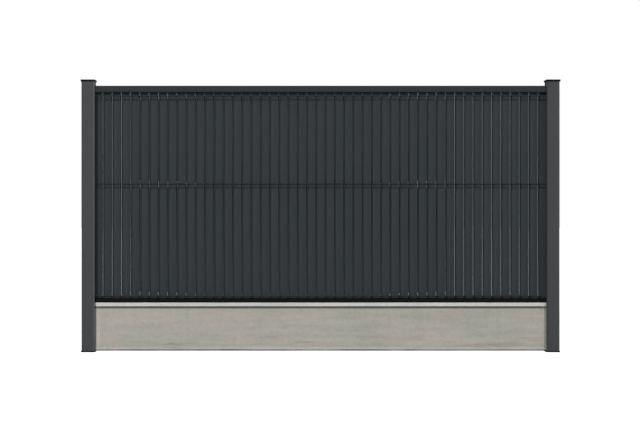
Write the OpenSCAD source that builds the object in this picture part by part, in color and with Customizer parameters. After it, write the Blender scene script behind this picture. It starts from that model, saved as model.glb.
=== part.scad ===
// One bay of a rigid welded mesh fence: folded mesh with upright privacy slats, a top rail,
// a notched foot channel, a concrete plinth board and two slotted, capped posts.
// X runs along the fence, the front faces -Y, and Z is up. The origin is on the underside of the
// left post's foot cap, at the post's centre.

/* [Bay] */
// Distance between the post centres
bay_length = 2500; // [1800:5:3000]
// Length of the post profile between its foot cap and its top cap
post_height = 1449; // [1435:1:1700]

/* [Posts] */
// Width of a post seen from the front
post_width = 70; // [64:1:80]
// Depth of a post from front to back
post_depth = 70; // [66:1:80]
// Corner radius of the post profile
post_corner = 7; // [3:0.5:9]
// Wall of the hollow post profile
post_wall = 2; // [1.5:0.25:2.5]
// Opening of the groove that takes the mesh and the board
groove_width = 40; // [40:1:42]
// How deep the groove goes into the post
groove_depth = 16; // [14:1:18]
// Chamfer along the groove's mouth
groove_chamfer = 1; // [0.5:0.25:1.5]
// Height of the top cap
cap_height = 10; // [6:1:14]
// How far the top cap stands proud of the post
cap_overhang = 5; // [3:1:8]
// Thickness of the foot cap's plate
foot_height = 6; // [4:1:10]
// How far the foot cap stands proud of the post
foot_overhang = 3; // [2:1:6]
// Length of the spigots that hold the caps in the post
spigot_length = 25; // [15:1:40]

/* [Plinth board] */
// Height of the concrete board
board_height = 260; // [240:5:300]
// Thickness of the concrete board
board_thick = 36; // [34:1:38]
// Gap between a post and the board's full-thickness body
board_gap = 5; // [4:1:12]
// Thickness of the tenon that enters the post's groove
tenon_thick = 20; // [16:1:24]
// Depth of the recessed field in the board's faces
field_depth = 4; // [2:0.5:5]
// Width of the gentle slope around the field
field_slope = 16; // [8:1:20]
// Height of the lip above the field
lip_height = 20; // [18:1:30]
// Height of the set-back upper half of the lip
lip_step = 11; // [8:1:14]
// Height of the shadow groove under the lip
groove_under_lip = 9; // [4:0.5:10]
// How much deeper than the field the shadow groove is
groove_sink = 5; // [2:0.5:6]
// Height of the plain edge below the field
sill_height = 12; // [11:1:16]
// Height of the chamfer along the board's foot
foot_chamfer = 8; // [4:1:10]
// Chamfer along the board's other edges
board_chamfer = 5; // [3:0.5:6]

/* [Mesh] */
// Spacing of the upright wires
wire_pitch = 50; // [45:1:60]
// Size across a wire
wire_size = 5; // [4:0.5:5.5]
// How far a fold stands out from the flat mesh
fold_depth = 22; // [16:1:24]
// Height of half a fold
fold_half = 22; // [20:1:28]
// Height of the lowest fold's middle above the board
low_fold = 37; // [33:1:60]
// Height of the middle fold above the lowest
middle_fold = 600; // [450:1:700]
// Room between the top fold and the top rail
top_fold_room = 0.5; // [0:0.5:40]

/* [Slats] */
// Thickness of a slat
slat_thick = 4; // [3:0.5:5]
// Joint between two slats
slat_joint = 0.3; // [0.2:0.1:1]
// Distance from the uprights' axes back to the middle of the slats
slat_behind = 21; // [12:0.5:22]
// Wall of the hollow slat
slat_wall = 0.8; // [0.6:0.1:1]
// Number of hollow cells across a slat
slat_cells = 5; // [3:1:7]

/* [Rail and channel] */
// Distance from the top of the post profile down to the top rail
rail_drop = 22; // [16:1:40]
// Height of the top rail
rail_height = 33; // [28:1:40]
// Depth of the top rail from front to back
rail_depth = 38; // [36:0.5:39]
// Depth of the foot channel from front to back
channel_depth = 32; // [31:0.5:34]
// Sheet thickness of the top rail and wall of the foot channel
rail_wall = 1.5; // [1:0.25:2]
// Corner radius of the top rail
rail_corner = 2; // [2:0.5:4]
// Inward lip along the top rail's lower back edge
rail_lip = 1.8; // [1:0.2:2]
// Height of the foot channel's ledge, which carries the slats
ledge_height = 23.5; // [20:0.5:26]
// How far the foot channel's back wall stands above the ledge
back_rise = 9; // [6:1:14]
// Width of the foot channel's slot for each upright wire
slot_width = 8; // [6.5:0.5:10]

/* [Hidden] */
fine = 48; // facets of curves in the preview
eps = 0.01;
loose = 0.3; // running clearance
seat_gap = 4; // room between a piece's end and the bottom of the groove
wire_stub = 3; // how far a level wire runs on past the outer upright's axis

mesh_groups = 4;
slat_groups = 7;

anthracite = "#34373a";
slat_grey = "#383c40";
soft_black = "#141516";
concrete = "#a5a29a";

groove_floor = post_width / 2 - groove_depth; // distance from a post's centre to its groove's bottom
reach = groove_floor + seat_gap; // where a piece in the groove starts, from the post's centre
channel_y = groove_width / 2 - channel_depth / 2 - 1; // middle of the foot channel
weld_step = wire_size - 0.6; // welding sinks two wires 0.6 mm into each other
mouth_back = rail_depth / 2 - rail_wall - rail_lip; // back edge of the rail's mouth
slat_y = mouth_back - loose - slat_thick / 2; // middle of the slats
mesh_y = slat_y - slat_behind; // plane of the uprights' axes
mouth_front = mesh_y - wire_size / 2 - loose; // front edge of the rail's mouth
board_y = groove_width / 2 - board_thick / 2 - loose; // the board leans on the groove's back wall
board_top = foot_height + board_height;
post_top = foot_height + post_height;
rail_top = post_top - rail_drop;
rail_under = rail_top - rail_height;
wire_foot = board_top + rail_wall;
wire_head = rail_top - rail_wall - 2;
slat_foot = board_top + ledge_height;
slat_head = rail_top - rail_wall;

fold_z = [
    board_top + low_fold,
    board_top + low_fold + middle_fold,
    rail_under - top_fold_room - fold_half
];
end_z = [wire_foot + wire_size / 2 + loose, wire_head - wire_size]; // level wires hidden in channel and rail
wire_count = floor((bay_length - 2 * reach) / wire_pitch) + 1;
first_wire = (bay_length - (wire_count - 1) * wire_pitch) / 2;
slat_width = wire_pitch - slat_joint;

function wire_x(i) = first_wire + i * wire_pitch;

// Points [y, z] of an upright wire's middle line, from foot to head.
wire_line = concat(
    [[0, wire_foot]],
    [for (z = fold_z, p = [[0, -fold_half], [-fold_depth, 0], [0, fold_half]]) [p[0], z + p[1]]],
    [[0, wire_head]]
);

// Mitred bends: where the middle line's offset, to one side by that much, turns at point i.
function unit(v) = v / norm(v);
function left_of(v) = [-v[1], v[0]];
function mitre(line, i, side) =
    let (
        before = unit(i == 0 ? line[1] - line[0] : line[i] - line[i - 1]),
        after = i == len(line) - 1 ? before : unit(line[i + 1] - line[i]),
        bisector = unit(left_of(before) + left_of(after))
    )
    line[i] + side * bisector / (bisector * left_of(before));

// Both sides of an outline whose points are [inset from the face, height].
function both_sides(points, half) = concat(
    [for (p = points) [half - p[0], p[1]]],
    [for (i = [len(points) - 1:-1:0]) [points[i][0] - half, points[i][1]]]
);

// Turns a flat [y, z] outline into a solid that runs along X from 0.
module along_x(length) {
    rotate([90, 0, 90])
        linear_extrude(length)
            children();
}

module rounded(width, depth, radius) {
    square([width - 2 * radius, depth], center = true);
    square([width, depth - 2 * radius], center = true);
    for (x = [-1, 1], y = [-1, 1])
        translate([x * (width / 2 - radius), y * (depth / 2 - radius)])
            circle(radius, $fn = fine);
}

// The groove in one side of the post, with a chamfered mouth.
module groove_outline() {
    half = groove_width / 2;
    mouth = post_width / 2;
    polygon([
        [groove_floor, -half], [mouth - groove_chamfer, -half], [mouth + eps, -half - groove_chamfer],
        [mouth + eps, half + groove_chamfer], [mouth - groove_chamfer, half], [groove_floor, half]
    ]);
}

// Hollow profile with a groove in each side, closed front and back chambers and a centre chamber.
module post_outline() {
    chamber_depth = (post_depth - groove_width) / 2 - 2 * post_wall;
    difference() {
        rounded(post_width, post_depth, post_corner);
        groove_outline();
        mirror([1, 0])
            groove_outline();
        for (side = [-1, 1])
            translate([0, side * (post_depth / 2 - post_wall - chamber_depth / 2)])
                square([post_width - 2 * post_corner, chamber_depth], center = true);
        square([2 * (groove_floor - post_wall), groove_width], center = true);
    }
}

module post() {
    color(anthracite)
        translate([0, 0, foot_height])
            linear_extrude(post_height)
                post_outline();
}

module spigot(length) {
    linear_extrude(length)
        square([2 * (groove_floor - post_wall - loose), groove_width - 2 * loose], center = true);
}

// Plate with a tapered underside and a softened top edge.
module post_cap() {
    grow = 2 * cap_overhang;
    radius = post_corner + cap_overhang;
    bevel = 2;
    color(soft_black)
        translate([0, 0, post_top]) {
            hull() {
                linear_extrude(eps)
                    rounded(post_width + 1, post_depth + 1, post_corner);
                translate([0, 0, cap_height * 0.4])
                    linear_extrude(cap_height * 0.6 - bevel)
                        rounded(post_width + grow, post_depth + grow, radius);
                linear_extrude(cap_height)
                    rounded(post_width + grow - 2 * bevel, post_depth + grow - 2 * bevel, radius - bevel);
            }
            translate([0, 0, -spigot_length])
                spigot(spigot_length + eps);
        }
}

module foot_cap() {
    color(soft_black) {
        linear_extrude(foot_height)
            rounded(post_width + 2 * foot_overhang, post_depth + 2 * foot_overhang, post_corner);
        translate([0, 0, foot_height - eps])
            spigot(spigot_length + eps);
    }
}

// Section of the board without its fields: a stepped lip above, a chamfer below.
module board_section() {
    step = board_chamfer / 2;
    polygon(both_sides(
        [
            [foot_chamfer * 0.75, 0],
            [0, foot_chamfer],
            [0, board_height - lip_step - step],
            [step, board_height - lip_step],
            [step, board_height - board_chamfer],
            [step + board_chamfer * 0.6, board_height]
        ],
        board_thick / 2
    ));
}

// Plan of the board's full-thickness body, with chamfered ends.
module board_plan(length) {
    half = board_thick / 2;
    narrow = half - board_chamfer * 0.6;
    polygon([
        [0, -narrow], [board_chamfer, -half], [length - board_chamfer, -half], [length, -narrow],
        [length, narrow], [length - board_chamfer, half], [board_chamfer, half], [0, narrow]
    ]);
}

// What is cut from one face: a field with gentle slopes, and a deeper groove under the lip.
module board_field(length) {
    high = board_height - lip_height;
    deep = field_depth + groove_sink;
    intersection() {
        along_x(length)
            polygon([
                [-eps, sill_height], [field_depth, sill_height + field_slope],
                [field_depth, high - groove_under_lip], [deep, high - groove_under_lip + 1],
                [deep, high - 1], [-eps, high]
            ]);
        linear_extrude(board_height)
            polygon([
                [0, -eps], [field_slope, field_depth], [field_slope, deep + eps],
                [length - field_slope, deep + eps], [length - field_slope, field_depth], [length, -eps]
            ]);
    }
}

module plinth_board() {
    start = post_width / 2 + board_gap;
    length = bay_length - 2 * start;
    rim = board_chamfer + 1;
    tenon = start - reach + board_chamfer;
    color(concrete)
        translate([0, board_y, foot_height]) {
            difference() {
                translate([start, 0, 0])
                    intersection() {
                        along_x(length)
                            board_section();
                        linear_extrude(board_height)
                            board_plan(length);
                    }
                translate([start + rim, -board_thick / 2, 0])
                    board_field(length - 2 * rim);
                translate([start + rim, board_thick / 2, 0])
                    mirror([0, 1, 0])
                        board_field(length - 2 * rim);
            }
            for (x = [reach, bay_length - reach - tenon])
                translate([x, -tenon_thick / 2, 0])
                    cube([tenon, tenon_thick, board_height]);
        }
}

// Section of the foot channel: floor, front wall with a ridge, ledge for the slats, and back wall.
module channel_section() {
    half = channel_depth / 2;
    ridge = 1.2;
    square_at = ledge_height * 0.4;
    translate([-half, 0]) {
        square([channel_depth, rail_wall]);
        square([rail_wall, ledge_height]);
        translate([-ridge, square_at])
            square([ridge + eps, rail_wall]);
        translate([0, ledge_height - rail_wall])
            square([channel_depth, rail_wall]);
    }
    translate([half - rail_wall, 0])
        square([rail_wall, ledge_height + back_rise]);
}

// Channel on the board, slotted from above for each upright wire. Its ledge carries the slats.
module foot_channel() {
    slot_back = mesh_y + wire_size / 2 + 1;
    color(soft_black)
        difference() {
            translate([reach, channel_y, board_top])
                along_x(bay_length - 2 * reach)
                    channel_section();
            for (i = [0:wire_count - 1])
                translate([wire_x(i) - slot_width / 2, slot_back - channel_depth, wire_foot])
                    cube([slot_width, channel_depth, ledge_height]);
        }
}

// Section of the top rail: a box with rounded shoulders, open underneath over the wires and slats.
module rail_section() {
    inner_width = rail_depth - 2 * rail_wall;
    inner_height = rail_height - rail_wall;
    difference() {
        translate([0, rail_height / 2]) {
            rounded(rail_depth, rail_height, rail_corner);
            translate([0, -rail_height / 4])
                square([rail_depth, rail_height / 2], center = true);
        }
        translate([0, rail_wall + (inner_height - rail_wall) / 2])
            rounded(inner_width, inner_height - rail_wall, rail_corner - rail_wall);
        translate([mouth_front, -rail_wall])
            square([mouth_back - mouth_front, 3 * rail_wall]);
    }
}

module top_rail() {
    color(anthracite)
        translate([reach, 0, rail_under])
            along_x(bay_length - 2 * reach)
                rail_section();
}

module wire(length) {
    rotate(22.5)
        cylinder(h = length, r = wire_size / 2 / cos(22.5), $fn = 8);
}

// An upright: one straight run for each pair of points, cut off at the mitres.
module upright_wire(x) {
    for (i = [0:len(wire_line) - 2]) {
        from = wire_line[i];
        way = wire_line[i + 1] - from;
        intersection() {
            translate([x, mesh_y + from[0], from[1]])
                rotate([-atan2(way[0], way[1]), 0, 0])
                    translate([0, 0, -wire_size])
                        wire(norm(way) + 2 * wire_size);
            translate([x - wire_size, mesh_y, 0])
                along_x(2 * wire_size)
                    polygon([
                        mitre(wire_line, i, wire_size), mitre(wire_line, i + 1, wire_size),
                        mitre(wire_line, i + 1, -wire_size), mitre(wire_line, i, -wire_size)
                    ]);
        }
    }
}

module level_wire(from, to, y, z) {
    translate([from, y, z])
        rotate([0, 90, 0])
            wire(to - from);
}

// One group of upright wires with its stretch of the level wires, all welded to the back: one in
// each fold, and one hidden at each end.
module mesh_part(group) {
    first = floor(wire_count * group / mesh_groups);
    last = floor(wire_count * (group + 1) / mesh_groups) - 1;
    from = wire_x(first) - (group == 0 ? wire_stub : wire_pitch / 2);
    to = wire_x(last) + (group == mesh_groups - 1 ? wire_stub : wire_pitch / 2);
    color(anthracite)
        union() {
            for (i = [first:last])
                upright_wire(wire_x(i));
            for (z = fold_z)
                level_wire(from, to, mesh_y - fold_depth + weld_step, z);
            for (z = end_z)
                level_wire(from, to, mesh_y + weld_step, z);
        }
}

// Hollow slat section with full-round edges.
module slat_outline() {
    cell = (slat_width - slat_thick - (slat_cells - 1) * slat_wall) / slat_cells;
    difference() {
        union() {
            square([slat_width - slat_thick, slat_thick], center = true);
            for (side = [-1, 1])
                translate([side * (slat_width - slat_thick) / 2, 0])
                    circle(slat_thick / 2, $fn = fine);
        }
        for (i = [0:slat_cells - 1])
            translate([(i - (slat_cells - 1) / 2) * (cell + slat_wall), 0])
                square([cell, slat_thick - 2 * slat_wall], center = true);
    }
}

module slat_set(group) {
    slats = wire_count - 1;
    first = floor(slats * group / slat_groups);
    last = floor(slats * (group + 1) / slat_groups) - 1;
    color(slat_grey)
        for (i = [first:last])
            translate([wire_x(i) + wire_pitch / 2, slat_y, slat_foot])
                linear_extrude(slat_head - slat_foot)
                    slat_outline();
}

module at_right() {
    translate([bay_length, 0, 0])
        children();
}

post();  // left_post
at_right() post();  // right_post
post_cap();  // left_post_cap
at_right() post_cap();  // right_post_cap
foot_cap();  // left_foot_cap
at_right() foot_cap();  // right_foot_cap
plinth_board();
foot_channel();
top_rail();
mesh_part(0);  // mesh_part_1
mesh_part(1);  // mesh_part_2
mesh_part(2);  // mesh_part_3
mesh_part(3);  // mesh_part_4
slat_set(0);  // slat_set_1
slat_set(1);  // slat_set_2
slat_set(2);  // slat_set_3
slat_set(3);  // slat_set_4
slat_set(4);  // slat_set_5
slat_set(5);  // slat_set_6
slat_set(6);  // slat_set_7
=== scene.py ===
import math

import bmesh
import bpy
from mathutils import Matrix, Vector


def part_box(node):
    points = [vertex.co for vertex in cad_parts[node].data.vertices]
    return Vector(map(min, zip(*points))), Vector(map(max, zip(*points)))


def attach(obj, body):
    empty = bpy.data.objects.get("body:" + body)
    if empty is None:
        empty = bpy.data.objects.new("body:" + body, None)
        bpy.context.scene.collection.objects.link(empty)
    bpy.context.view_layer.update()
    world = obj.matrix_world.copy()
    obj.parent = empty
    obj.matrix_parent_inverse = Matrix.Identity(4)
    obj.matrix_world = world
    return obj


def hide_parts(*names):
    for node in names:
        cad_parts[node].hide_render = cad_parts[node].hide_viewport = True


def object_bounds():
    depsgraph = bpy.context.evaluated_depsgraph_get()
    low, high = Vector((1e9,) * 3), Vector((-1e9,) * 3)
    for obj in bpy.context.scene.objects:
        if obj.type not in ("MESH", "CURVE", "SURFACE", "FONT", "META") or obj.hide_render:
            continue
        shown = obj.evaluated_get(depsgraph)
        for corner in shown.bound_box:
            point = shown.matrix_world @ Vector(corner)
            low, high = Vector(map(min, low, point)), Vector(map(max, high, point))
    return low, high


# One bay of a rigid welded mesh fence: privacy slats, a concrete board and two slotted posts.

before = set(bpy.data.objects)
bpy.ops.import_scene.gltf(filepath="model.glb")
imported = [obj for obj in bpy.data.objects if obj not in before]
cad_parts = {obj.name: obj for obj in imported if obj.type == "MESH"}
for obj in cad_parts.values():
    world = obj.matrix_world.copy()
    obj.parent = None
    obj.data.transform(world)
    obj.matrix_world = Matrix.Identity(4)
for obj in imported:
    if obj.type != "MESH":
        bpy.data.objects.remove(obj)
cadLow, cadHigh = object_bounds()
print("frame loaded with", len(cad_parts), "nodes")

boardLow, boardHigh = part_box("plinth_board")
meshLow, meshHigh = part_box("mesh_part_1")
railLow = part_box("top_rail")[0]
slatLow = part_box("slat_set_1")[0]
postLow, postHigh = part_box("left_post")
farLow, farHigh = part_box("right_post")
bayLength = (farLow.x + farHigh.x - postLow.x - postHigh.x) / 2
pitch = 0.05  # of the uprights, and of the slats behind them


# Small helpers for the materials. A pattern reads Object coordinates, in metres.

def startFinish(name, roughness, gloss):
    material = bpy.data.materials.new(name)
    material.use_nodes = True
    shader = material.node_tree.nodes["Principled BSDF"]
    shader.inputs["Roughness"].default_value = roughness
    shader.inputs["Specular IOR Level"].default_value = gloss
    return material, material.node_tree, shader


def addNode(tree, kind, inputs=None, **settings):
    made = tree.nodes.new("ShaderNode" + kind)
    for name, value in settings.items():
        setattr(made, name, value)
    for name, value in (inputs or {}).items():
        if isinstance(value, bpy.types.NodeSocket):
            tree.links.new(value, made.inputs[name])
        else:
            made.inputs[name].default_value = value
    return made


def stretchedPlace(tree, scale=(1, 1, 1), shift=(0, 0, 0)):
    place = addNode(tree, "TexCoord").outputs["Object"]
    return addNode(tree, "Mapping", {"Vector": place, "Scale": scale, "Location": shift}).outputs["Vector"]


def noise(tree, place, scale, detail=2, roughness=0.5, output="Fac"):
    values = {"Vector": place, "Scale": scale, "Detail": detail, "Roughness": roughness}
    return addNode(tree, "TexNoise", values).outputs[output]


def reRange(tree, value, fromLow, fromHigh, toLow, toHigh):
    values = {"Value": value, "From Min": fromLow, "From Max": fromHigh, "To Min": toLow, "To Max": toHigh}
    return addNode(tree, "MapRange", values).outputs["Result"]


def calculate(tree, operation, first, *others):
    for other in others or (0,):  # an operation on one value leaves the 0 unread
        first = addNode(tree, "Math", {0: first, 1: other}, operation=operation).outputs["Value"]
    return first


def along(tree, place, axis):
    return addNode(tree, "SeparateXYZ", {"Vector": place}).outputs[axis]


def mixColours(tree, factor, first, second, blend="MIX"):
    made = addNode(tree, "Mix", data_type="RGBA", blend_type=blend)
    for place, value in zip((0, 6, 7), (factor, first, second)):  # factor, A and B of a colour mix
        if isinstance(value, bpy.types.NodeSocket):
            tree.links.new(value, made.inputs[place])
        else:
            made.inputs[place].default_value = value
    return made.outputs[2]


def bumps(tree, height, distance, strength=1.0, under=None):
    values = {"Height": height, "Distance": distance, "Strength": strength}
    if under is not None:
        values["Normal"] = under
    return addNode(tree, "Bump", values).outputs["Normal"]


def plug(tree, shader, **sockets):
    for name, socket in sockets.items():
        tree.links.new(socket, shader.inputs[name.replace("_", " ")])


def rgb(colour):
    return tuple(colour) + (1.0,)


# The finishes. Each size is in patterns per metre, and a share says how far a pattern changes the colour.

powderCoat = {
    "cloudSize": 3.5,
    "cloudShare": 0.16,
    "streakSize": 60,
    "streakShare": 0.2,
    "streakHeight": 0.00005,
    "speckSize": 1800,
    "speckShare": 0.25,
    "peelSize": 700,  # orange peel
    "peelHeight": 0.00006,
}
postCoat = {
    "colour": (0.0325, 0.0348, 0.0372),
    "pale": (0.053, 0.055, 0.055),  # where the coat is rubbed or dusty
    "roughness": (0.46, 0.6),
    "gloss": 0.24,
    "grain": (1, 1, 0.02),  # streaks run up the post
    "shift": (3, 0, 0),
}
railCoat = {
    "colour": (0.0158, 0.0176, 0.0190),
    "pale": (0.025, 0.027, 0.028),
    "roughness": (0.5, 0.64),
    "gloss": 0.16,
    "grain": (0.02, 1, 1),  # and along the rail
    "shift": (7, 0, 0),
}


def powderCoatFinish(name, user):
    coat = powderCoat
    material, tree, shader = startFinish(name, 0.5, user["gloss"])
    place = stretchedPlace(tree, shift=user["shift"])
    grain = stretchedPlace(tree, user["grain"], user["shift"])
    cloud = noise(tree, place, coat["cloudSize"], 4)
    streak = noise(tree, grain, coat["streakSize"], 3, 0.6)
    speck = noise(tree, place, coat["speckSize"], 2, 0.6)
    peel = noise(tree, place, coat["peelSize"], 3)
    shade = calculate(tree, "ADD",
                      reRange(tree, cloud, 0.35, 0.7, 0, coat["cloudShare"]),
                      reRange(tree, streak, 0.4, 0.7, 0, coat["streakShare"]),
                      reRange(tree, speck, 0.5, 0.72, 0, coat["speckShare"]))
    colour = mixColours(tree, shade, rgb(user["colour"]), rgb(user["pale"]))
    drawn = bumps(tree, streak, coat["streakHeight"], 0.5)
    plug(tree, shader, Base_Color=colour,
         Roughness=reRange(tree, streak, 0.3, 0.7, *user["roughness"]),
         Normal=bumps(tree, peel, coat["peelHeight"], 0.8, drawn))
    return material


wireCoat = {
    "colour": (0.0040, 0.0048, 0.0058),
    "pale": (0.0085, 0.0098, 0.0110),
    "gloss": 0.12,
    "cloudSize": 12,
    "cloudShare": 0.6,
    "peelSize": 900,
    "peelHeight": 0.00005,
    "topDustAndHighlight": (0.040, 0.042, 0.043),  # dust lying on what faces up, together with a painted highlight on the wires' upper sides
    "topDustAndHighlightShare": 0.9,
    "middleTopDustAndHighlight": 0.12,  # how much of the dust and painted highlight is kept round the middle fold
}


def wireFinish():
    user = wireCoat
    material, tree, shader = startFinish("anthraciteWireCoat", 0.45, user["gloss"])
    place = stretchedPlace(tree)
    cloud = noise(tree, place, user["cloudSize"], 4, 0.6)
    peel = noise(tree, place, user["peelSize"], 2)
    shade = reRange(tree, cloud, 0.45, 0.75, 0, user["cloudShare"])
    colour = mixColours(tree, shade, rgb(user["colour"]), rgb(user["pale"]))
    # the paler tops are dust together with painted highlight where light from above falls; less of both round
    # the middle fold
    facing = along(tree, addNode(tree, "TexCoord").outputs["Normal"], "Z")
    upward = reRange(tree, facing, -0.3, 0.5, 0, user["topDustAndHighlightShare"])
    middle = (railLow.z + boardHigh.z) / 2
    fromMiddle = calculate(tree, "ABSOLUTE", calculate(tree, "SUBTRACT", along(tree, place, "Z"), middle))
    dustAndHighlight = calculate(tree, "MULTIPLY", upward, reRange(tree, fromMiddle, 0.15, 0.4, user["middleTopDustAndHighlight"], 1))
    colour = mixColours(tree, dustAndHighlight, colour, rgb(user["topDustAndHighlight"]))
    plug(tree, shader, Base_Color=colour,
         Roughness=reRange(tree, peel, 0.3, 0.7, 0.36, 0.5),
         Normal=bumps(tree, peel, user["peelHeight"], 0.6))
    return material


slatPlastic = {
    "colour": (0.0222, 0.0280, 0.0325),
    "pale": (0.033, 0.0385, 0.043),
    "gloss": 0.16,
    "joint": 0.0003,
    "slatShare": 0.16,  # how much one slat's tone differs from the next
    "grain": (1, 1, 0.012),  # lines from the extrusion
    "grainSize": 420,
    "grainShare": 0.3,
    "grainHeight": 0.0001,
    "cloudSize": 6,
    "cloudShare": 0.25,
    "sandSize": 2200,
    "sandHeight": 0.00003,
}


def slatFinish():
    user = slatPlastic
    material, tree, shader = startFinish("anthraciteSlatPlastic", 0.6, user["gloss"])
    place = stretchedPlace(tree)
    firstSlat = slatLow.x - user["joint"] / 2
    fromFirst = calculate(tree, "SUBTRACT", along(tree, place, "X"), firstSlat)
    slatNumber = calculate(tree, "FLOOR", calculate(tree, "DIVIDE", fromFirst, pitch))
    slatTone = addNode(tree, "TexWhiteNoise", {"W": slatNumber}, noise_dimensions="1D").outputs["Value"]
    grain = noise(tree, stretchedPlace(tree, user["grain"]), user["grainSize"], 3, 0.6)
    cloud = noise(tree, place, user["cloudSize"], 4)
    sand = noise(tree, place, user["sandSize"], 2)
    shade = calculate(tree, "ADD",
                      reRange(tree, slatTone, 0, 1, 0, user["slatShare"]),
                      reRange(tree, grain, 0.35, 0.7, 0, user["grainShare"]),
                      reRange(tree, cloud, 0.4, 0.7, 0, user["cloudShare"]))
    colour = mixColours(tree, shade, rgb(user["colour"]), rgb(user["pale"]))
    lines = bumps(tree, grain, user["grainHeight"], 0.35)
    plug(tree, shader, Base_Color=colour,
         Roughness=reRange(tree, cloud, 0.3, 0.7, 0.52, 0.68),
         Normal=bumps(tree, sand, user["sandHeight"], 0.5, lines))
    return material


mouldedPlastic = {
    "colour": (0.0032, 0.0034, 0.0036),
    "pale": (0.0085, 0.0086, 0.009),
    "gloss": 0.06,
    "pebbleSize": 1400,
    "pebbleHeight": 0.00008,
    "scuffSize": 90,
    "scuffShare": 0.7,
}


def mouldedFinish(name, grain):
    user = mouldedPlastic
    material, tree, shader = startFinish(name, 0.6, user["gloss"])
    pebbles = {"Vector": stretchedPlace(tree), "Scale": user["pebbleSize"]}
    pebble = addNode(tree, "TexVoronoi", pebbles, feature="SMOOTH_F1").outputs["Distance"]
    scuff = noise(tree, stretchedPlace(tree, grain), user["scuffSize"], 4, 0.65)
    shade = reRange(tree, scuff, 0.5, 0.8, 0, user["scuffShare"])
    colour = mixColours(tree, shade, rgb(user["colour"]), rgb(user["pale"]))
    plug(tree, shader, Base_Color=colour,
         Roughness=reRange(tree, scuff, 0.3, 0.7, 0.5, 0.7),
         Normal=bumps(tree, pebble, user["pebbleHeight"], 0.5))
    return material


castConcrete = {
    "colour": (0.372, 0.360, 0.322),
    "warm": (0.392, 0.355, 0.325),
    "green": (0.360, 0.366, 0.310),
    "gloss": 0.25,
    "patchSize": 5,
    "blotchSize": 9,
    "mottleSize": 55,
    "smearSize": 42,
    "sandSize": 900,
    "runSize": 34,
    "patchStretch": (0.35, 1, 1),
    "blotchStretch": (0.5, 1, 1),
    "smearStretch": (0.09, 1, 1),  # drawn out along the board
    "runStretch": (1, 1, 0.06),  # drawn out down it
    "streak": (0.270, 0.262, 0.232),  # where water runs off the lip
    "streakHeight": 0.06,
    "splash": (0.130, 0.128, 0.112),  # dark smears low on the field
    "splashHeight": 0.085,
    # darker towards the foot
    "darkerToFoot": (0.255, 0.245, 0.220),
    "darkerToFootHeight": 0.05,
    "paleAndHighlight": (0.565, 0.570, 0.548),  # the lip's paler, smoother concrete with painted light on it; also the painted highlight along the sill
    "lipHeight": 0.02,
    "grooveShade": (0.040, 0.039, 0.036),  # painted shade in the groove under the lip
    "grooveShadeHeight": 0.017,
    "sillHighlightHeight": 0.022,  # painted highlight: the pale strip along the foot of the field
    "footEdgeShade": (0.052, 0.050, 0.045),  # painted shade along the bottom edge, uneven along the board
    "footEdgeShadeHeight": 0.009,
    # painted shade in the pits
    "shadedPit": (0.15, 0.145, 0.13),
    "pitsPerMetre": 120,
    "pitWidth": 0.34,  # of the widest, as a share of the pits' spacing
    "swarmSize": 14,
    "raggedSize": 260,
    "raggedReach": 0.004,
    "fleck": (0.50, 0.49, 0.46),
    "sandHeight": 0.0004,
    "mottleHeight": 0.0012,
    "pitHeight": 0.0012,
}


def concretePatterns(tree, place):
    user = castConcrete
    blotchPlace = stretchedPlace(tree, user["blotchStretch"], (3, 1, 5))
    return {
        "patch": noise(tree, stretchedPlace(tree, user["patchStretch"]), user["patchSize"], 5, 0.6),
        "blotch": noise(tree, blotchPlace, user["blotchSize"], 4, 0.55),
        "mottle": noise(tree, place, user["mottleSize"], 5, 0.65),
        "smear": noise(tree, stretchedPlace(tree, user["smearStretch"]), user["smearSize"], 4, 0.6),
        "sand": noise(tree, place, user["sandSize"], 4, 0.6),
        "run": noise(tree, stretchedPlace(tree, user["runStretch"]), user["runSize"], 4, 0.6),
    }


def concretePits(tree, place):
    user = castConcrete
    ragged = noise(tree, place, user["raggedSize"], 3, output="Color")
    reach = addNode(tree, "VectorMath", {0: ragged, "Scale": user["raggedReach"]}, operation="SCALE")
    moved = addNode(tree, "VectorMath", {0: place, 1: reach.outputs["Vector"]}, operation="ADD")
    values = {"Vector": moved.outputs["Vector"], "Scale": user["pitsPerMetre"], "Randomness": 1.0}
    cells = addNode(tree, "TexVoronoi", values).outputs
    own = addNode(tree, "SeparateColor", {"Color": cells["Color"]}).outputs
    swarm = reRange(tree, noise(tree, place, user["swarmSize"], 3), 0.48, 0.7, 0, user["pitWidth"])
    size = calculate(tree, "MULTIPLY", swarm, reRange(tree, own["Red"], 0.5, 1, 0, 1))
    shadedPit = reRange(tree, calculate(tree, "SUBTRACT", cells["Distance"], size), -0.03, 0.03, 0.8, 0)
    fleck = reRange(tree, calculate(tree, "ADD", cells["Distance"], own["Green"]), 0.1, 0.16, 0.7, 0)
    return shadedPit, fleck


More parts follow.
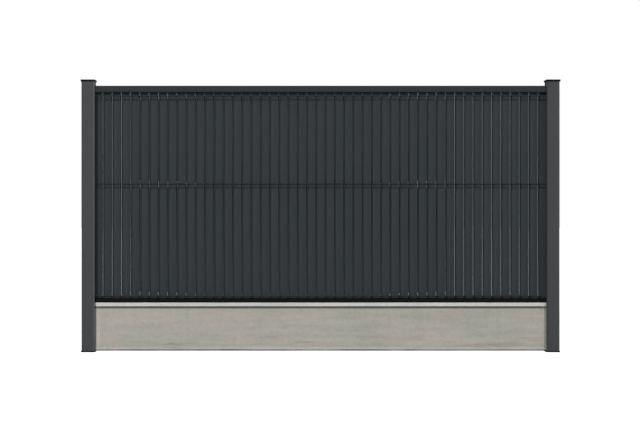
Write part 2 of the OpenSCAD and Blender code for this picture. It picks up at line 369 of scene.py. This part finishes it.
def concreteMarks(tree, height, pattern):
    user = castConcrete
    foot = boardLow.z
    lip = boardHigh.z - user["lipHeight"]
    streak = calculate(tree, "MULTIPLY",
                       reRange(tree, pattern["run"], 0.52, 0.72, 0, 0.25),
                       reRange(tree, height, foot + user["streakHeight"], lip, 0.15, 1))
    splashTop = foot + user["splashHeight"]
    splash = calculate(tree, "MULTIPLY",
                       reRange(tree, pattern["smear"], 0.52, 0.74, 0, 0.85),
                       reRange(tree, pattern["patch"], 0.42, 0.6, 0, 1),
                       reRange(tree, height, foot + 0.3 * user["splashHeight"], splashTop, 1, 0))
    # darker towards the foot
    uneven = calculate(tree, "ADD", height, reRange(tree, pattern["patch"], 0.3, 0.7, -0.02, 0.02))
    darkerToFoot = reRange(tree, uneven, foot, foot + user["darkerToFootHeight"], 0.4, 0)
    # paler lip: partly its own smoother concrete, partly painted light on it
    paleAndHighlight = reRange(tree, height, lip - 0.001, lip + 0.001, 0, 1)
    # painted shade in the groove under the lip
    groove = lip - user["grooveShadeHeight"]
    grooveShade = calculate(tree, "MINIMUM",
                     reRange(tree, height, groove, lip - 0.4 * user["grooveShadeHeight"], 0, 0.85),
                     reRange(tree, height, lip - 0.001, lip + 0.0005, 1, 0))
    # painted highlight along the foot of the field
    sillTop = foot + user["sillHighlightHeight"]
    sillHighlight = reRange(tree, height, foot + 0.7 * user["sillHighlightHeight"], sillTop, 0.35, 0)
    # painted shade along the bottom edge
    stainTop = foot + user["footEdgeShadeHeight"]
    footEdgeShade = calculate(tree, "MULTIPLY",
                      reRange(tree, height, foot + 0.6 * user["footEdgeShadeHeight"], stainTop, 0.95, 0),
                      reRange(tree, pattern["blotch"], 0.4, 0.6, 1, 0.55))
    return streak, splash, darkerToFoot, paleAndHighlight, grooveShade, sillHighlight, footEdgeShade


def concreteFinish():
    user = castConcrete
    material, tree, shader = startFinish("castConcrete", 0.85, user["gloss"])
    place = stretchedPlace(tree)
    pattern = concretePatterns(tree, place)
    shadedPit, fleck = concretePits(tree, place)
    marks = concreteMarks(tree, along(tree, place, "Z"), pattern)
    streak, splash, darkerToFoot, paleAndHighlight, grooveShade, sillHighlight, footEdgeShade = marks
    greenish = reRange(tree, pattern["patch"], 0.35, 0.65, 0, 1)
    colour = mixColours(tree, greenish, rgb(user["green"]), rgb(user["colour"]))
    layers = (
        ("warm", reRange(tree, pattern["blotch"], 0.45, 0.65, 0, 0.8)),
        ("streak", streak),
        ("fleck", fleck),
        ("darkerToFoot", darkerToFoot),
        ("splash", splash),
        ("paleAndHighlight", paleAndHighlight),
        ("grooveShade", grooveShade),
        ("paleAndHighlight", sillHighlight),
        ("footEdgeShade", footEdgeShade),
    )
    for layer, share in layers:
        colour = mixColours(tree, share, colour, rgb(user[layer]))
    tone = calculate(tree, "ADD",
                     reRange(tree, pattern["mottle"], 0.3, 0.7, 0.93, 1.06),
                     reRange(tree, pattern["smear"], 0.3, 0.7, 0.055, -0.075),
                     reRange(tree, pattern["sand"], 0.3, 0.7, -0.05, 0.05),
                     reRange(tree, pattern["blotch"], 0.35, 0.65, -0.03, 0.03))
    grey = addNode(tree, "CombineColor", {"Red": tone, "Green": tone, "Blue": tone}).outputs["Color"]
    colour = mixColours(tree, 1.0, colour, grey, "MULTIPLY")
    # painted shade in the pits
    colour = mixColours(tree, shadedPit, colour, rgb(user["shadedPit"]))
    rough = bumps(tree, pattern["sand"], user["sandHeight"], 0.35)
    uneven = bumps(tree, pattern["mottle"], user["mottleHeight"], 0.25, rough)
    sunk = bumps(tree, calculate(tree, "MULTIPLY", shadedPit, -1.0), user["pitHeight"], 0.8, uneven)
    plug(tree, shader, Base_Color=colour, Normal=sunk,
         Roughness=reRange(tree, pattern["mottle"], 0.3, 0.7, 0.78, 0.95))
    return material


postFinish = powderCoatFinish("anthracitePostCoat", postCoat)
railFinish = powderCoatFinish("anthraciteRailCoat", railCoat)
wireCoating = wireFinish()
slatCoating = slatFinish()
capPlastic = mouldedFinish("blackCapPlastic", (1, 1, 1))
channelPlastic = mouldedFinish("blackChannelPlastic", (0.03, 1, 1))
concrete = concreteFinish()


def nodesNamed(start):
    return sorted(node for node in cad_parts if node.startswith(start))


def paint(node, material):
    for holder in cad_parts[node].material_slots:
        holder.material = material


for slatSet in nodesNamed("slat_set_"):
    paint(slatSet, slatCoating)
for side in ("left", "right"):
    paint(side + "_foot_cap", capPlastic)
paint("plinth_board", concrete)
paint("foot_channel", channelPlastic)
print("materials made")


# Pieces. A finished piece's place is in its mesh, and its object stays at the origin.

def finishPiece(name, work, material, replaced, sharpAngle=35):
    for edge in work.edges:
        edge.smooth = len(edge.link_faces) == 2 and edge.calc_face_angle(0) < math.radians(sharpAngle)
    for face in work.faces:
        face.smooth = True
    data = bpy.data.meshes.new(name)
    work.to_mesh(data)
    work.free()
    data.materials.append(material)
    piece = bpy.data.objects.new(name, data)
    bpy.context.scene.collection.objects.link(piece)
    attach(piece, "root")
    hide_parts(*replaced)
    print("made", name, "with", len(data.polygons), "faces")


def mergedCopy(node):
    work = bmesh.new()
    work.from_mesh(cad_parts[node].data)
    bmesh.ops.remove_doubles(work, verts=work.verts, dist=0.000002)  # metres
    return work


for side in ("left", "right"):
    post, cap = side + "_post", side + "_post_cap"
    finishPiece(side + "PostProfile", mergedCopy(post), postFinish, [post])
    finishPiece(side + "PostCap", mergedCopy(cap), capPlastic, [cap])
finishPiece("topRailProfile", mergedCopy("top_rail"), railFinish, ["top_rail"])


weldedMesh = {
    "wire": 0.005,
    "sink": 0.0006,  # how far the welding has pressed a level wire into an upright
    "foldDepth": 0.022,
    "foldHalf": 0.022,
    "lowFold": 0.037,  # above the board
    "middleFold": 0.6,  # above the lowest fold
    "topRoom": 0.0005,  # between the top fold and the rail
    "bendRadius": 0.004,
    "stub": 0.003,  # how far the level wires run past the outer uprights' axes
    "endLevels": (0.0028, 0.005),  # the hidden level wires' places from the uprights' feet and heads
    "sides": 12,
    "bendSteps": 4,
    "spot": (1.25, 0.62, 1.1, 1),  # a weld spot's form, in wire radii
}


def ringOf(geometry):
    return [part for part in geometry if isinstance(part, (bmesh.types.BMVert, bmesh.types.BMEdge))]


def runStraight(work, ring, way):
    edges = [part for part in ring if isinstance(part, bmesh.types.BMEdge)]
    drawn = bmesh.ops.extrude_edge_only(work, edges=edges)["geom"]
    verts = [part for part in drawn if isinstance(part, bmesh.types.BMVert)]
    bmesh.ops.translate(work, verts=verts, vec=way)
    fresh = set(verts)
    edges = [part for part in drawn if isinstance(part, bmesh.types.BMEdge)]
    return verts + [edge for edge in edges if set(edge.verts) <= fresh]


def runBend(work, ring, centre, angle, steps):
    turned = bmesh.ops.spin(work, geom=ring, cent=centre, axis=(1, 0, 0), angle=angle, steps=steps)
    return ringOf(turned["geom_last"])


def foldHeights():
    user = weldedMesh
    low = boardHigh.z + user["lowFold"]
    return [low, low + user["middleFold"], railLow.z - user["topRoom"] - user["foldHalf"]]


def makeUpright(work, x, plane):
    user = weldedMesh
    radius, bend, steps = user["wire"] / 2, user["bendRadius"], user["bendSteps"]
    lean = math.atan2(user["foldDepth"], user["foldHalf"])
    outer, inner = bend * math.tan(lean / 2), bend * math.tan(lean)
    leg = math.hypot(user["foldDepth"], user["foldHalf"]) - outer - inner
    forward = Vector((0, -math.sin(lean), math.cos(lean)))
    back = Vector((0, math.sin(lean), math.cos(lean)))
    start = Matrix.Translation((x, plane, meshLow.z))
    circle = bmesh.ops.create_circle(work, segments=user["sides"], radius=radius, matrix=start)
    ring = circle["verts"] + work.edges[:]
    at = meshLow.z
    for fold in foldHeights():
        foot = fold - user["foldHalf"] - outer
        ring = runStraight(work, ring, (0, 0, foot - at))
        ring = runBend(work, ring, (x, plane - bend, foot), lean, steps)
        ring = runStraight(work, ring, forward * leg)
        apex = Vector((x, plane - user["foldDepth"], fold))
        turn = apex - forward * inner + Vector((0, math.cos(lean), math.sin(lean))) * bend
        ring = runBend(work, ring, turn, -2 * lean, 2 * steps)
        ring = runStraight(work, ring, back * leg)
        head = Vector((x, plane, fold + user["foldHalf"]))
        turn = head - back * outer + Vector((0, -math.cos(lean), math.sin(lean))) * bend
        ring = runBend(work, ring, turn, lean, steps)
        at = head.z + outer
    runStraight(work, ring, (0, 0, meshHigh.z - at))
    bmesh.ops.holes_fill(work, edges=[edge for edge in work.edges if edge.is_boundary], sides=0)


def addWeldSpots(work, x, crossings):
    user = weldedMesh
    radius = user["wire"] / 2
    for y, height in crossings:
        place = Matrix.Translation((x, y - radius + user["sink"] / 2, height))
        pressed = place @ Matrix.Diagonal(user["spot"])
        bmesh.ops.create_icosphere(work, subdivisions=2, radius=radius, matrix=pressed)


def repeatUprights(work, count):
    one = work.verts[:] + work.edges[:] + work.faces[:]
    for number in range(1, count):
        copy = bmesh.ops.duplicate(work, geom=one)["geom"]
        verts = [part for part in copy if isinstance(part, bmesh.types.BMVert)]
        bmesh.ops.translate(work, verts=verts, vec=(number * pitch, 0, 0))


def addLevelWires(work, length, crossings):
    user = weldedMesh
    radius = user["wire"] / 2
    alongX = Matrix.Rotation(math.pi / 2, 4, "Y")
    for y, height in crossings:
        middle = Matrix.Translation((meshLow.x + length / 2, y, height))
        bmesh.ops.create_cone(work, cap_ends=True, segments=user["sides"], radius1=radius, radius2=radius,
                              depth=length, matrix=middle @ alongX)


def makeWeldedMesh():
    user = weldedMesh
    weldStep = user["wire"] - user["sink"]
    plane = meshHigh.y - user["wire"] / 2 - weldStep  # of the uprights' axes, outside the folds
    lowEnd, highEnd = user["endLevels"]
    crossings = [(plane - user["foldDepth"] + weldStep, height) for height in foldHeights()]
    crossings += [(plane + weldStep, meshLow.z + lowEnd), (plane + weldStep, meshHigh.z - highEnd)]
    count = round(bayLength / pitch)
    firstWire = meshLow.x + user["stub"]

    work = bmesh.new()
    makeUpright(work, firstWire, plane)
    addWeldSpots(work, firstWire, crossings)
    repeatUprights(work, count)
    addLevelWires(work, (count - 1) * pitch + 2 * user["stub"], crossings)
    bmesh.ops.recalc_face_normals(work, faces=work.faces)
    finishPiece("weldedMesh", work, wireCoating, nodesNamed("mesh_part_"))


makeWeldedMesh()


# Surroundings: a plain pale floor, a pale sky, four suns and the camera.

setting = {
    "floorReach": 60,  # from its middle, in metres
    "floorColour": (0.9, 0.9, 0.9),
    "floorLift": 0.85,  # shown to the camera only
    "sky": 0.1,
    "suns": (  # name, direction it shines from, strength, width in degrees
        ("key", (-0.32, -1.0, 0.5), 1.75, 4),
        ("fill", (0.75, -1.0, 0.22), 0.77, 16),
        ("rim", (1.0, -0.015, 0.12), 3.2, 3),
        ("back", (-0.5, 1.0, 0.7), 1.3, 20),
    ),
    "viewpoint": (1.09, -7.2076, 0.746),
    "lens": 75.15,
    "sensor": 36,
    "shift": (0.04566, -0.0002),  # of the picture, sideways and upwards
    "farthest": 200,
}


def makeFloor():
    work = bmesh.new()
    bmesh.ops.create_grid(work, x_segments=1, y_segments=1, size=setting["floorReach"])
    bmesh.ops.translate(work, verts=work.verts, vec=(bayLength / 2, 0, cadLow.z))
    data = bpy.data.meshes.new("floor")
    work.to_mesh(data)
    work.free()
    floor = bpy.data.objects.new("floor", data)
    bpy.context.scene.collection.objects.link(floor)
    material, tree, shader = startFinish("paleFloor", 0.9, 0.0)
    shader.inputs["Base Color"].default_value = rgb(setting["floorColour"])
    shader.inputs["Emission Color"].default_value = (1, 1, 1, 1)
    seen = addNode(tree, "LightPath").outputs["Is Camera Ray"]
    plug(tree, shader, Emission_Strength=calculate(tree, "MULTIPLY", seen, setting["floorLift"]))
    data.materials.append(material)


def makeSky():
    world = bpy.data.worlds.new("paleSky")
    bpy.context.scene.world = world
    world.use_nodes = True
    tree = world.node_tree
    background = tree.nodes["Background"]
    background.inputs["Color"].default_value = (1, 1, 1, 1)
    path = addNode(tree, "LightPath").outputs
    rays = ("Is Camera Ray", "Is Glossy Ray", "Is Transmission Ray")
    shown = calculate(tree, "MAXIMUM", *(path[ray] for ray in rays))
    tree.links.new(reRange(tree, shown, 0, 1, setting["sky"], 1), background.inputs["Strength"])


def makeLights():
    for name, direction, strength, width in setting["suns"]:
        light = bpy.data.lights.new(name, "SUN")
        light.energy = strength
        light.angle = math.radians(width)
        holder = bpy.data.objects.new(name, light)
        bpy.context.scene.collection.objects.link(holder)
        holder.rotation_euler = Vector(direction).to_track_quat("Z", "Y").to_euler()


def makeCamera():
    camera = bpy.data.cameras.new("camera")
    camera.sensor_width = setting["sensor"]
    camera.lens = setting["lens"]
    camera.shift_x, camera.shift_y = setting["shift"]
    camera.clip_end = setting["farthest"]
    holder = bpy.data.objects.new("camera", camera)
    bpy.context.scene.collection.objects.link(holder)
    holder.location = setting["viewpoint"]
    holder.rotation_euler = (math.pi / 2, 0, 0)
    bpy.context.scene.camera = holder


makeFloor()
makeSky()
makeLights()
makeCamera()
bpy.context.scene.view_settings.view_transform = "Standard"
print("lights and camera set")
